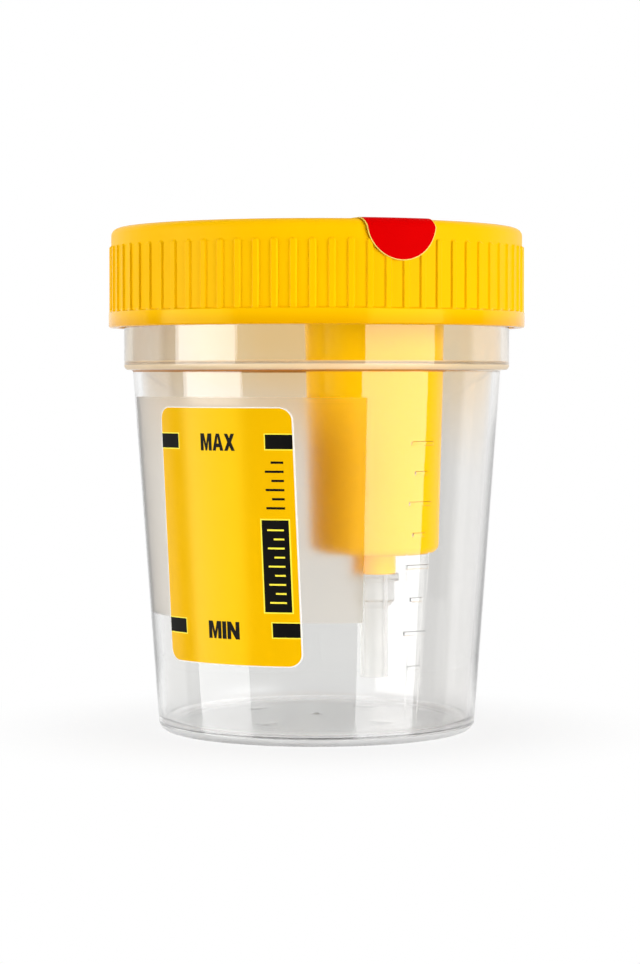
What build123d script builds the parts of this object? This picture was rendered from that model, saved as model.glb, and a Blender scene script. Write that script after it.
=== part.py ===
from build123d import *
from math import cos, pi, radians, sin, sqrt
import os

# A clear screw-top specimen cup. Its lid is one moulding with a deep well for an evacuated
# tube; a cannula under a rubber sleeve stands in the well, and a straw hangs below it.
# Frame: the cup stands on the XY plane with its axis on Z, and the front is -Y.
# Sizes are in millimetres. Angles are in degrees from the front, positive to the right.

# Cup
cup_height = 75.7
foot_radius = 24.72
body_top_radius = 28.77
body_wall = 1.1
shoulder_step = 1.37
shoulder_depth = 7.6
shoulder_corner = 0.8
neck_height = 11.9
neck_inset = 0.24
neck_wall = 1.0
rim_edge = 0.3
floor_thickness = 1.0
foot_hollow = 1.0
foot_hollow_edge = 0.35
foot_land = 1.6
foot_corner = 1.5
floor_corner = 1.4

# Thread, the same right-hand lead on cup and lid
thread_starts = 3
thread_lead = 12.0
thread_height = 0.95
thread_root_width = 2.0
thread_crest_width = 1.0
thread_bite = 0.2
thread_play = 0.25
cup_thread_arc = 150.0
lid_thread_arc = 110.0
cup_thread_rise = 1.8
lid_thread_lag = 25.0

# Graduations moulded on the outside of the cup, one for each 10 ml, a little below its level
mark_angle = 34.4
mark_drop = 0.7
mark_step_ml = 10
first_mark_ml = 20
last_mark_ml = 90
long_mark = 4.0
short_mark = 2.3
mark_width = 0.5
mark_proud = 0.15

# Pips on the floor, where the cup was fed with plastic and pushed off its core
gate_radius = 0.8
ejector_count = 4
ejector_radius = 1.7
ejector_circle = 12.4
ejector_turn = 51.8
pip_height = 0.12

# Volume label
label_angle = -31.45
label_width = 23.5
label_length = 38.65
label_foot = 12.05
label_corner = 2.0
label_thickness = 0.1
glue_gap = 0.05

# Sealing ring, loose in the top of the lid
ring_thickness = 1.0
ring_clearance = 0.2

# Lid
lid_gap = 1.2
lid_wall = 1.0
lid_top_thickness = 1.5
lid_overlap = 1.0
lid_edge_round = 1.2
grip_band_height = 2.3
grip_band_proud = 0.42
grip_band_edge = 0.3
rib_count = 72
rib_width = 1.0
rib_proud = 0.3
rib_top_gap = 2.8
rib_phase = -1.0
plug_depth = 4.5
plug_wall = 1.0
plug_clearance = 0.25

# Tube well, moulded in one with the lid
well_x = 8.75
well_y = -10.9
well_mouth_radius = 9.75
well_end_radius = 8.65
well_wall = 1.1
well_depth = 48.85
well_floor = 1.2
well_corner = 1.4
mouth_round = 0.4
boss_radius = 2.6
boss_height = 3.0
spigot_radius = 1.2
spigot_length = 3.0
hub_radius = 3.3
hub_length = 3.25
hub_end_gap = 0.3

# Cannula and its sleeve
cannula_radius = 0.45
cannula_bore = 0.3
cannula_reach = 10.5
cannula_foot_length = 0.5
cannula_bevel = 20.0
cannula_fit = 0.02
sleeve_radius = 2.1
sleeve_play = 0.25
sleeve_head = 1.4
push_fit = 0.03

# Straw, moulded in one with its flange and collar; its upper end is pushed into the hub
flange_radius = 3.8
flange_thickness = 1.15
collar_radius = 3.1
collar_length = 5.2
collar_chamfer = 0.9
tenon_length = 2.6
straw_radius = 2.15
straw_bore = 1.45
straw_gap = 7.1

# Safety seal, stuck over the mouth of the well and folded down the side of the lid
seal_thickness = 0.15
seal_gap = 0.03
seal_overlap = 3.25
seal_angle = 21.45
seal_width = 11.1
seal_drop = 6.1
seal_lean = 0.8

# Heights and radii that follow
shoulder_top = cup_height - neck_height
shoulder_height = shoulder_top - shoulder_depth
shoulder_radius = body_top_radius + shoulder_step
neck_radius = shoulder_radius - neck_inset
neck_bore = neck_radius - neck_wall
ceiling = cup_height + ring_thickness
lid_top = ceiling + lid_top_thickness
lid_bottom = shoulder_top - lid_overlap
lid_bore = neck_radius + lid_gap
lid_radius = lid_bore + lid_wall
band_top = lid_bottom + grip_band_height
band_radius = lid_radius + grip_band_proud
plug_radius = neck_bore - plug_clearance
plug_bore = plug_radius - plug_wall
plug_bottom = ceiling - plug_depth
well_bottom = lid_top - well_depth
boss_top = well_bottom + boss_height
spigot_top = boss_top + spigot_length
hub_top = well_bottom - well_floor
hub_bottom = hub_top - hub_length
tenon_top = hub_bottom + tenon_length
hub_bore_top = tenon_top + hub_end_gap
cannula_top = spigot_top + cannula_reach
floor_edge = foot_hollow_edge + floor_thickness
floor_centre = foot_hollow + floor_thickness
straw_bottom = floor_centre + straw_gap
wall_slope = (body_top_radius - foot_radius) / shoulder_height

well_plane = Plane(origin=(well_x, well_y, 0), x_dir=(1, 0, 0), z_dir=(0, -1, 0))
well_axis = Axis((well_x, well_y, 0), (0, 0, 1))


def wall_radius(height):
    """Outside radius of the tapered cup body at a height above the ground."""
    return foot_radius + wall_slope * height


def facing(angle, height=0.0):
    """A plane on the axis that looks outwards at an angle from the front."""
    turn = radians(angle)
    outwards = (sin(turn), -cos(turn), 0)
    return Plane(origin=(0, 0, height), x_dir=(cos(turn), sin(turn), 0), z_dir=outwards)


def beside(angle):
    """A plane through the axis with its own x outwards at an angle from the front."""
    turn = radians(angle)
    return Plane(origin=(0, 0, 0), x_dir=(sin(turn), -cos(turn), 0), z_dir=(-cos(turn), -sin(turn), 0))


def corner(section, across, up):
    """The corner of a section that lies nearest to a point."""
    return section.vertices().sort_by_distance((across, up))[0]


def fill_height(volume_ml):
    """Height above the ground of a liquid of this volume in the tapered cup."""
    radius = wall_radius(floor_edge) - body_wall
    cube = radius**3 + 3 * wall_slope * volume_ml * 1000 / pi
    return floor_edge + (cube ** (1 / 3) - radius) / wall_slope


def thread_ridge(root_radius, inwards, arc, start_height):
    """One start of the thread, from +X round by arc, as a ridge that bites into its wall."""
    side = -1 if inwards else 1
    with BuildPart() as ridge:
        with BuildLine() as path:
            Helix(thread_lead, thread_lead * arc / 360, root_radius, center=(0, 0, start_height))
        with BuildSketch(Plane(origin=path.line @ 0, x_dir=(1, 0, 0), z_dir=path.line % 0)):
            with BuildLine():
                Polyline(
                    (-side * thread_bite, -thread_root_width / 2),
                    (0, -thread_root_width / 2),
                    (side * thread_height, -thread_crest_width / 2),
                    (side * thread_height, thread_crest_width / 2),
                    (0, thread_root_width / 2),
                    (-side * thread_bite, thread_root_width / 2),
                    close=True,
                )
            make_face()
        sweep(path=path.line, is_frenet=True)
    return ridge.part


# The cup thread starts a little above the shoulder. The lid thread hangs under it with a
# little play, so that the lid is drawn down on its sealing ring.
cup_thread_start = shoulder_top + cup_thread_rise
flank_run = (thread_root_width - thread_crest_width) / (2 * thread_height)
thread_overlap = neck_radius + 2 * thread_height - lid_bore
flank_sum = thread_crest_width + thread_overlap * flank_run
lid_thread_drop = flank_sum + thread_play
lid_thread_start = cup_thread_start + thread_lead * lid_thread_lag / 360 - lid_thread_drop

cup_ridge = thread_ridge(neck_radius, False, cup_thread_arc, cup_thread_start)
lid_ridge = thread_ridge(lid_bore, True, lid_thread_arc, lid_thread_start)

# Cup: tapered body, stacking shoulder and straight threaded neck, with a floor that domes
# up a little so that it stands on a narrow land round its foot
with BuildPart() as cup:
    land_radius = wall_radius(0) - foot_corner - foot_land
    floor_radius = wall_radius(floor_edge) - body_wall
    ledge = shoulder_height + body_wall
    with BuildSketch(Plane.XZ) as cup_section:
        with BuildLine():
            TangentArc((0, foot_hollow), (land_radius, foot_hollow_edge), tangent=(1, 0))
            Polyline(
                (land_radius, foot_hollow_edge),
                (land_radius + foot_hollow_edge, 0),
                (wall_radius(0), 0),
                (body_top_radius, shoulder_height),
                (shoulder_radius, shoulder_height),
                (shoulder_radius, shoulder_top),
                (neck_radius, shoulder_top + neck_inset),
                (neck_radius, cup_height),
                (neck_bore, cup_height),
                (neck_bore, ledge),
                (body_top_radius - body_wall, ledge),
                (floor_radius, floor_edge),
            )
            TangentArc((0, floor_centre), (floor_radius, floor_edge), tangent=(1, 0))
            Line((0, floor_centre), (0, foot_hollow))
        make_face()
        fillet(corner(cup_section, wall_radius(0), 0), foot_corner)
        fillet(corner(cup_section, shoulder_radius, shoulder_height), shoulder_corner)
        fillet(corner(cup_section, floor_radius, floor_edge), floor_corner)
        chamfer(corner(cup_section, neck_radius, cup_height), rim_edge)
        chamfer(corner(cup_section, neck_bore, cup_height), rim_edge)
    revolve(axis=Axis.Z)
    with PolarLocations(0, thread_starts):
        add(cup_ridge)
    for volume in range(first_mark_ml, last_mark_ml + 1, mark_step_ml):
        height = fill_height(volume) - mark_drop
        radius = wall_radius(height)
        length = short_mark if (volume // mark_step_ml) % 2 == 0 else long_mark
        sweep_angle = 360 * length / (2 * pi * radius)
        with BuildSketch(beside(mark_angle - sweep_angle / 2)):
            with Locations((radius, height)):
                Rectangle(2 * mark_proud, mark_width)
        revolve(axis=Axis.Z, revolution_arc=sweep_angle)
    with BuildSketch(Plane.XY.offset(floor_centre + pip_height)):
        Circle(gate_radius)
    extrude(amount=-floor_thickness / 2)
    dome_fall = (floor_centre - floor_edge) * (ejector_circle / floor_radius) ** 2
    with BuildSketch(Plane.XY.offset(floor_centre - dome_fall + pip_height)):
        with PolarLocations(ejector_circle, ejector_count, start_angle=ejector_turn):
            Circle(ejector_radius)
    extrude(amount=-floor_thickness / 2)
cup.part.label = "cup"

# Volume label, wrapped on the taper of the cup
with BuildPart() as volume_label:
    label_inside = glue_gap
    label_outside = glue_gap + label_thickness
    label_middle = label_foot + label_length / 2
    with BuildSketch(Plane.XZ):
        with BuildLine():
            Polyline(
                (wall_radius(0) + label_inside, 0),
                (wall_radius(0) + label_outside, 0),
                (body_top_radius + label_outside, shoulder_height),
                (body_top_radius + label_inside, shoulder_height),
                close=True,
            )
        make_face()
    revolve(axis=Axis.Z)
    with BuildSketch(facing(label_angle, label_middle)):
        RectangleRounded(label_width, label_length, label_corner)
    extrude(amount=shoulder_radius, mode=Mode.INTERSECT)
volume_label.part.label = "volume_label"

# Sealing ring, a washer of soft plastic that lies between the rim and the lid
with BuildPart() as seal_ring:
    with BuildSketch(Plane.XY.offset(cup_height)):
        Circle(lid_bore - ring_clearance)
        Circle(plug_radius + ring_clearance, mode=Mode.SUBTRACT)
    extrude(amount=ring_thickness)
seal_ring.part.label = "seal_ring"

# One grip rib, lying along +X on the side of the lid
with BuildPart() as rib:
    rib_top = lid_top - rib_top_gap
    rib_length = rib_top - band_top
    with BuildSketch(Plane.YZ.offset(lid_radius - rib_proud)):
        with Locations((0, band_top + (rib_length - rib_width / 2) / 2)):
            Rectangle(rib_width, rib_length - rib_width / 2)
        with Locations((0, rib_top - rib_width / 2)):
            Circle(rib_width / 2)
    extrude(amount=2 * rib_proud)

# Lid: a ribbed cap with a plug that enters the neck, and the tube well, all one moulding
with BuildPart() as lid:
    with BuildSketch(Plane.XZ) as cap_section:
        with BuildLine():
            Polyline(
                (0, lid_top),
                (lid_radius, lid_top),
                (lid_radius, band_top + grip_band_proud),
                (band_radius, band_top),
                (band_radius, lid_bottom),
                (lid_bore, lid_bottom),
                (lid_bore, ceiling),
                (plug_radius, ceiling),
                (plug_radius, plug_bottom),
                (plug_bore, plug_bottom),
                (plug_bore, ceiling),
                (0, ceiling),
                close=True,
            )
        make_face()
        fillet(corner(cap_section, lid_radius, lid_top), lid_edge_round)
        chamfer(corner(cap_section, band_radius, lid_bottom), grip_band_edge)
        chamfer(corner(cap_section, plug_radius, plug_bottom), plug_wall / 2)
    revolve(axis=Axis.Z)
    with PolarLocations(0, rib_count, start_angle=rib_phase):
        add(rib.part)
    with PolarLocations(0, thread_starts, start_angle=lid_thread_lag):
        add(lid_ridge)

    with BuildSketch(well_plane) as well_section:
        with BuildLine():
            Polyline(
                (0, ceiling),
                (well_mouth_radius + well_wall, ceiling),
                (well_end_radius + well_wall, hub_top),
                (hub_radius, hub_top),
                (hub_radius, hub_bottom),
                (0, hub_bottom),
                close=True,
            )
        make_face()
        fillet(corner(well_section, well_end_radius + well_wall, hub_top), well_corner)
    revolve(axis=well_axis)

    with BuildSketch(well_plane) as cavity_section:
        with BuildLine():
            Polyline(
                (0, lid_top + lid_top_thickness),
                (well_mouth_radius, lid_top + lid_top_thickness),
                (well_mouth_radius, lid_top),
                (well_end_radius, well_bottom),
                (boss_radius, well_bottom),
                (boss_radius, boss_top),
                (spigot_radius, boss_top),
                (spigot_radius, spigot_top),
                (0, spigot_top),
                close=True,
            )
        make_face()
        fillet(corner(cavity_section, well_end_radius, well_bottom), well_corner / 2)
    revolve(axis=well_axis, mode=Mode.SUBTRACT)
    mouth = lid.edges().filter_by(GeomType.CIRCLE).group_by(Axis.Z)[-1]
    fillet(mouth.sort_by(SortBy.RADIUS)[0], mouth_round)

    with BuildSketch(Plane.XY.offset(hub_bottom)):
        with Locations((well_x, well_y)):
            Circle(straw_radius + push_fit)
    extrude(amount=hub_bore_top - hub_bottom, mode=Mode.SUBTRACT)
    with BuildSketch(Plane.XY.offset(hub_bore_top)):
        with Locations((well_x, well_y)):
            Circle(cannula_radius + cannula_fit)
    extrude(amount=spigot_top - hub_bore_top, mode=Mode.SUBTRACT)
lid.part.label = "lid"

# Cannula: a steel tube set through the spigot, ground to a point at its upper end
with BuildPart() as cannula:
    cannula_foot = hub_bore_top - cannula_foot_length
    with BuildSketch(Plane.XY.offset(cannula_foot)):
        with Locations((well_x, well_y)):
            Circle(cannula_radius)
            Circle(cannula_bore, mode=Mode.SUBTRACT)
    extrude(amount=cannula_top - cannula_foot)
    lean = radians(90 - cannula_bevel)
    tip = Plane(
        origin=(well_x + cannula_radius, well_y, cannula_top),
        x_dir=(0, 1, 0),
        z_dir=(-sin(lean), 0, cos(lean)),
    )
    split(bisect_by=tip, keep=Keep.BOTTOM)
cannula.part.label = "cannula"

# Rubber sleeve: closes over the cannula and is pushed on to the spigot
with BuildPart() as rubber_sleeve:
    sleeve_top = cannula_top + sleeve_play + sleeve_head
    with BuildSketch(well_plane) as sleeve_section:
        with BuildLine():
            Polyline(
                (spigot_radius + push_fit, boss_top),
                (sleeve_radius, boss_top),
                (sleeve_radius, sleeve_top),
                (0, sleeve_top),
                (0, cannula_top + sleeve_play),
                (cannula_radius + sleeve_play, cannula_top + sleeve_play),
                (cannula_radius + sleeve_play, spigot_top + sleeve_play),
                (spigot_radius + push_fit, spigot_top + sleeve_play),
                close=True,
            )
        make_face()
        fillet(corner(sleeve_section, sleeve_radius, sleeve_top), sleeve_head)
    revolve(axis=well_axis)
rubber_sleeve.part.label = "rubber_sleeve"

# Straw: a tube whose top is pushed into the hub as far as its flange, with a thick collar
# below the flange
with BuildPart() as straw:
    collar_bottom = hub_bottom - collar_length
    with BuildSketch(well_plane):
        with BuildLine():
            Polyline(
                (straw_bore, tenon_top),
                (straw_radius, tenon_top),
                (straw_radius, hub_bottom),
                (flange_radius, hub_bottom),
                (flange_radius, hub_bottom - flange_thickness),
                (collar_radius, hub_bottom - flange_thickness),
                (collar_radius, collar_bottom + collar_chamfer),
                (straw_radius, collar_bottom),
                (straw_radius, straw_bottom),
                (straw_bore, straw_bottom),
                close=True,
            )
        make_face()
    revolve(axis=well_axis)
straw.part.label = "straw"

# Safety seal: a film disc over the mouth of the well with a tongue that folds over the edge.
# It is cut from a skin that lies just off the top and the ribs of the lid.
with BuildPart() as safety_seal:
    skin_top = lid_top + seal_gap
    skin_side = lid_radius + rib_proud + seal_gap
    seal_foot = lid_top - seal_drop
    with BuildSketch(Plane.XZ) as skin:
        with BuildLine():
            Polyline(
                (0, skin_top),
                (skin_side, skin_top),
                (skin_side, lid_bottom),
                (skin_side + seal_thickness, lid_bottom),
                (skin_side + seal_thickness, skin_top + seal_thickness),
                (0, skin_top + seal_thickness),
                close=True,
            )
        make_face()
        fold_round = lid_edge_round + seal_thickness
        fillet(corner(skin, skin_side, skin_top), lid_edge_round)
        fillet(corner(skin, skin_side + seal_thickness, skin_top + seal_thickness), fold_round)
    revolve(axis=Axis.Z)
    tongue_plane = facing(seal_angle)
    tongue_root = sqrt(well_x**2 + well_y**2)
    half = seal_width / 2
    fold = skin_top - lid_edge_round
    above = skin_top + lid_edge_round
    with BuildSketch(Plane.XY.offset(fold)) as seal_outline:
        with Locations((well_x, well_y)):
            Circle(well_mouth_radius + seal_overlap)
        with Locations(tongue_plane.z_dir * (tongue_root + skin_side) / 2):
            Rectangle(seal_width, skin_side - tongue_root, rotation=seal_angle)
    disc = extrude(amount=above - fold, mode=Mode.PRIVATE)
    with BuildSketch(tongue_plane) as tongue:
        with BuildLine():
            Polyline((half + seal_lean, fold), (half, above), (-half, above), (-half + seal_lean, fold))
            ThreePointArc((-half + seal_lean, fold), (seal_lean, seal_foot), (half + seal_lean, fold))
        make_face()
    flap = extrude(amount=2 * skin_side, mode=Mode.PRIVATE)
    add(disc + flap, mode=Mode.INTERSECT)
safety_seal.part.label = "safety_seal"

os.makedirs("parts", exist_ok=True)
for piece in (cup, volume_label, seal_ring, lid, cannula, rubber_sleeve, straw, safety_seal):
    export_step(piece.part, f"parts/{piece.part.label}.step")
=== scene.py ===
from math import atan2, cos, degrees, hypot, pi, radians, sin, tan

import bmesh
import bpy
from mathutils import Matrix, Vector


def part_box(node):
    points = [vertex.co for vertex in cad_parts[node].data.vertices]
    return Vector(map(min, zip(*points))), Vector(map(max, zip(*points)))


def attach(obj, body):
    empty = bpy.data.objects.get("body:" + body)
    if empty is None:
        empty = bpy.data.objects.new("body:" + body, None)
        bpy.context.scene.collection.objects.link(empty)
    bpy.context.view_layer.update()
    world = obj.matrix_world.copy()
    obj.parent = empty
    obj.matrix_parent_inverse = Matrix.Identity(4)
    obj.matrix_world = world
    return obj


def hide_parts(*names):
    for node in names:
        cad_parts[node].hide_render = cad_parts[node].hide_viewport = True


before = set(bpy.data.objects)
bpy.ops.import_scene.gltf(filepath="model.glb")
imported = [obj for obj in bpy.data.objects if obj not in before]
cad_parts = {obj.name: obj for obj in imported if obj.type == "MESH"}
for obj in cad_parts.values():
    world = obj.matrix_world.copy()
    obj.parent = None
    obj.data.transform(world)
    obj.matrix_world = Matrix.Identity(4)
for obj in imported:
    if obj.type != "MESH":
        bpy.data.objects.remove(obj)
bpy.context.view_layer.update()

# Cup
# Clear polypropylene, injection moulded in one shot: a tapered body, a stacking shoulder and a
# threaded neck. The mould leaves graduations at the right, a matt panel for the label at the
# left, and pips on the floor. Sizes are in millimetres, and the meshes are written in metres.

mm = 0.001


def span(node):
    """Lowest and highest corner of a construction node, in millimetres."""
    low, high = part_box(node)
    return low / mm, high / mm


def rounded(corners):
    """An outline from (across, up) corners, where a third number rounds its corner."""
    steps = 6
    outline = []
    for place, (across, up, *radius) in enumerate(corners):
        here = Vector((across, up))
        if not radius:
            outline.append(here)
            continue
        back = (Vector(corners[place - 1][:2]) - here).normalized()
        ahead = (Vector(corners[(place + 1) % len(corners)][:2]) - here).normalized()
        half = back.angle(ahead) / 2
        middle = here + (back + ahead).normalized() * radius[0] / sin(half)
        reach = radius[0] / tan(half)
        start = here + back * reach - middle
        end = here + ahead * reach - middle
        for step in range(steps + 1):
            spoke = start.lerp(end, step / steps).normalized() * radius[0]
            outline.append(middle + spoke)
    return outline


def turned(mesh, outline, angles, centre=(0, 0), moulded=None):
    """Turns an outline round an upright axis, and returns its first and last ring of vertices."""
    rings = []
    for across, up in outline:
        if across < mm:
            rings.append([mesh.verts.new((centre[0] * mm, centre[1] * mm, up * mm))])
            continue
        ring = []
        for angle in angles:
            out, height = moulded(angle, across, up) if moulded else (across, up)
            place = (centre[0] + out * sin(angle), centre[1] - out * cos(angle), height)
            ring.append(mesh.verts.new(Vector(place) * mm))
        rings.append(ring)
    for lower, upper in zip(rings, rings[1:]):
        for here in range(len(angles)):
            there = (here + 1) % len(angles)
            if len(lower) == 1:
                mesh.faces.new((lower[0], upper[there], upper[here]))
            elif len(upper) == 1:
                mesh.faces.new((lower[here], lower[there], upper[0]))
            else:
                mesh.faces.new((lower[here], lower[there], upper[there], upper[here]))
    return rings[0], rings[-1]


def finished(mesh, name, sharp=35):
    """Makes an object of a mesh under construction, smooth but for edges sharper than an angle."""
    bmesh.ops.recalc_face_normals(mesh, faces=mesh.faces)
    data = bpy.data.meshes.new(name)
    mesh.to_mesh(data)
    mesh.free()
    data.shade_smooth()
    data.set_sharp_from_angle(angle=radians(sharp))
    piece = bpy.data.objects.new(name, data)
    bpy.context.scene.collection.objects.link(piece)
    return piece


def even_angles(count):
    return [2 * pi * step / count for step in range(count)]


thread_starts = 3
thread_lead = 12.0
thread_height = 0.95
thread_root = 2.0
thread_crest = 1.0
cup_thread_rise = 1.8
cup_thread_arc = 150


def thread_at(angle, height, first_turn, first_height, arc):
    """How far the thread stands proud at an angle from the front and a height."""
    proud = 0
    for start in range(thread_starts):
        along = (degrees(angle) - 90 - first_turn - start * 360 / thread_starts) % 360
        if along <= arc:
            off = abs(height - first_height - thread_lead * along / 360)
            share = (thread_root / 2 - off) / ((thread_root - thread_crest) / 2)
            proud = max(proud, thread_height * min(1, max(0, share)))
    return proud


cup_high = span("cup")[1]
neck_height = 11.9
neck_wall = 1.0
neck_inset = 0.24
shoulder_depth = 7.6
shoulder_step = 1.37
shoulder_corner = 0.8
body_wall = 1.1
foot_radius = 24.72
foot_corner = 1.5
foot_land = 1.6
foot_hollow = 1.0
foot_edge = 0.35
floor_thickness = 1.0
floor_corner = 1.4
small_edge = 0.3
rim = cup_high.z
neck_radius = cup_high.x - thread_height
neck_bore = neck_radius - neck_wall
shoulder_top = rim - neck_height
shoulder_height = shoulder_top - shoulder_depth
shoulder_radius = neck_radius + neck_inset
body_top_radius = shoulder_radius - shoulder_step
ledge = shoulder_height + body_wall
land_radius = foot_radius - foot_corner - foot_land
floor_centre = foot_hollow + floor_thickness
floor_edge = foot_edge + floor_thickness
wall_slope = (body_top_radius - foot_radius) / shoulder_height


def wall_radius(height):
    return foot_radius + wall_slope * height


floor_radius = wall_radius(floor_edge) - body_wall

mark_angle = radians(34.4)
mark_drop = 0.7
mark_face = 0.25
mark_draft = 0.07
mark_base = mark_face + mark_draft
mark_proud = 0.15
mark_lengths = (2.3, 4.0)


def fill_height(volume_ml):
    """Height of a liquid of this volume in the tapered cup."""
    cube = floor_radius**3 + 3 * wall_slope * volume_ml * 1000 / pi
    return floor_edge + (cube ** (1 / 3) - floor_radius) / wall_slope


marks = [(fill_height(10 * tens) - mark_drop, mark_lengths[tens % 2]) for tens in range(2, 10)]

pip_height = 0.12
pip_edge = 0.3
gate_radius = 0.8
ejector_radius = 1.7
ejector_circle = 12.4
ejector_angle = 51.8
pips = [(0.0, 0.0, gate_radius)]
for quarter in range(4):
    turn = radians(ejector_angle + 90 * quarter)
    pips.append((ejector_circle * cos(turn), ejector_circle * sin(turn), ejector_radius))


def moulded_cup(angle, across, up):
    """Adds the thread, the graduations and the floor pips to the plain turned form."""
    if across > neck_bore + neck_wall / 2 and up > shoulder_top:
        proud = thread_at(angle, up, 0, shoulder_top + cup_thread_rise, cup_thread_arc)
        return across + proud, up
    if abs(across - wall_radius(up)) < 0.01:
        beside = abs((angle - mark_angle + pi) % (2 * pi) - pi) * across
        for height, length in marks:
            inset = min(mark_base - abs(up - height), length / 2 - beside)
            if inset > 0:
                return across + mark_proud * min(1, inset / mark_draft), up
    if across < floor_radius - floor_corner - 0.1 and up > floor_edge - 0.1:
        x, y = across * sin(angle), -across * cos(angle)
        for pip_x, pip_y, radius in pips:
            inset = radius - hypot(x - pip_x, y - pip_y)
            if inset > 0:
                return across, up + pip_height * min(1, inset / pip_edge)
    return across, up


def dome(edge_radius, edge_height, centre_height, count):
    """A shallow dome from its edge towards its middle."""
    shares = [1 - step / count for step in range(count)]
    fall = edge_height - centre_height
    return [(edge_radius * share, centre_height + fall * share**2) for share in shares]


mark_edges = (-mark_base, -mark_face, mark_face, mark_base)
graduation_rows = [height + edge for height, _ in marks for edge in mark_edges]
thread_row_step = 0.25
thread_rows = [shoulder_top + 0.5 + thread_row_step * step for step in range(40)]

cup_outline = rounded(
    [
        (0, foot_hollow),
        *reversed(dome(land_radius, foot_edge, foot_hollow, 12)),
        (land_radius + foot_edge, 0),
        (foot_radius, 0, foot_corner),
        *[(wall_radius(height), height) for height in graduation_rows],
        (body_top_radius, shoulder_height, small_edge),
        (shoulder_radius, shoulder_height, shoulder_corner),
        (shoulder_radius, shoulder_top),
        (neck_radius, shoulder_top + neck_inset),
        *[(neck_radius, height) for height in thread_rows],
        (neck_radius, rim, small_edge),
        (neck_bore, rim, small_edge),
        (neck_bore, ledge, small_edge),
        (body_top_radius - body_wall, ledge, 0.5),
        (floor_radius, floor_edge, floor_corner),
        *dome(floor_radius - floor_corner, floor_edge, floor_centre, 60),
        (0, floor_centre),
    ]
)
mark_columns = [mark_angle + radians(0.25) * step for step in range(-24, 25)]
cup_angles = [a for a in even_angles(240) if abs(a - mark_angle) > radians(6.5)]

cup_mesh = bmesh.new()
turned(cup_mesh, cup_outline, sorted(cup_angles + mark_columns), moulded=moulded_cup)
cup = finished(cup_mesh, "clear_cup")


def new_material(name):
    """A material with its node tree and its main shader."""
    material = bpy.data.materials.new(name)
    material.use_nodes = True
    tree = material.node_tree
    return material, tree, tree.nodes["Principled BSDF"]


def worked_out(tree, operation, *values):
    """One step of arithmetic in a material, on numbers or on other nodes' results."""
    step = tree.nodes.new("ShaderNodeMath")
    step.operation = operation
    for socket, value in zip(step.inputs, values):
        if isinstance(value, (int, float)):
            socket.default_value = value
        else:
            tree.links.new(value, socket)
    return step.outputs[0]


def ramped(tree, value, start, end, low=0.0, high=1.0):
    """Runs smoothly from low to high while a value goes from start to end."""
    step = tree.nodes.new("ShaderNodeMapRange")
    step.interpolation_type = "SMOOTHSTEP"
    tree.links.new(value, step.inputs["Value"])
    for socket, number in (("From Min", start), ("From Max", end), ("To Min", low), ("To Max", high)):
        step.inputs[socket].default_value = number
    return step.outputs[0]


def noise(tree, scale):
    """Cloudy variation over a piece, from 0 to 1, with its size set in its own frame."""
    place = tree.nodes.new("ShaderNodeTexCoord")
    cloud = tree.nodes.new("ShaderNodeTexNoise")
    cloud.inputs["Scale"].default_value = scale
    cloud.inputs["Detail"].default_value = 3.0
    tree.links.new(place.outputs["Object"], cloud.inputs["Vector"])
    return cloud.outputs["Fac"]


def grained(tree, shader, height, depth, strength=1.0):
    """Gives a shader a bump of a depth in metres."""
    bump = tree.nodes.new("ShaderNodeBump")
    bump.inputs["Distance"].default_value = depth
    if isinstance(strength, (int, float)):
        bump.inputs["Strength"].default_value = strength
    else:
        tree.links.new(strength, bump.inputs["Strength"])
    tree.links.new(height, bump.inputs["Height"])
    tree.links.new(bump.outputs["Normal"], shader.inputs["Normal"])


def blended(tree, share, first, second):
    """Goes from one colour to another by a share; each is a colour or another node's result."""
    blend = tree.nodes.new("ShaderNodeMix")
    blend.data_type = "RGBA"
    tree.links.new(share, blend.inputs["Factor"])
    for socket, colour in (("A", first), ("B", second)):
        if isinstance(colour, tuple):
            blend.inputs[socket].default_value = (*colour, 1)
        else:
            tree.links.new(colour, blend.inputs[socket])
    return blend.outputs["Result"]


def tinted(tree, shader, share, first, second):
    """Blends a shader's colour between two by a share."""
    tree.links.new(blended(tree, share, first, second), shader.inputs["Base Color"])


def coloured_gloss(material, colour, level):
    """Gives a coloured plastic's gloss some of its own colour, and sets how strong it is."""
    shader = material.node_tree.nodes["Principled BSDF"]
    shader.inputs["Specular IOR Level"].default_value = level
    shader.inputs["Specular Tint"].default_value = (*colour, 1)


def place_on_piece(tree):
    """Angle from the front in degrees, distance from the axis and height, in millimetres."""
    place = tree.nodes.new("ShaderNodeTexCoord")
    split = tree.nodes.new("ShaderNodeSeparateXYZ")
    tree.links.new(place.outputs["Object"], split.inputs[0])
    x, y, z = split.outputs
    back = worked_out(tree, "MULTIPLY", y, -1.0)
    angle = worked_out(tree, "MULTIPLY", worked_out(tree, "ARCTAN2", x, back), degrees(1))
    squares = worked_out(tree, "MULTIPLY_ADD", x, x, worked_out(tree, "MULTIPLY", y, y))
    out = worked_out(tree, "DIVIDE", worked_out(tree, "SQRT", squares), mm)
    return angle, out, worked_out(tree, "DIVIDE", z, mm)


plastic_ior = 1.49
panel_left, panel_right = -78.5, 15.2
panel_foot, panel_top = 18.7, 52.1


def label_panel(tree, angle, out, height):
    """1 on the matt panel that takes the label, which is on the outer face only."""
    turn_blur, height_blur = 0.2, 0.1
    middle_of_wall = worked_out(tree, "MULTIPLY_ADD", height, wall_slope, foot_radius - 0.5)
    panel = worked_out(tree, "GREATER_THAN", out, middle_of_wall)
    for value, edge, blur in (
        (angle, panel_left, turn_blur),
        (angle, panel_right, -turn_blur),
        (height, panel_foot, height_blur),
        (height, panel_top, -height_blur),
    ):
        inside = ramped(tree, value, edge - blur, edge + blur)
        panel = worked_out(tree, "MULTIPLY", panel, inside)
    return panel


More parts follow.
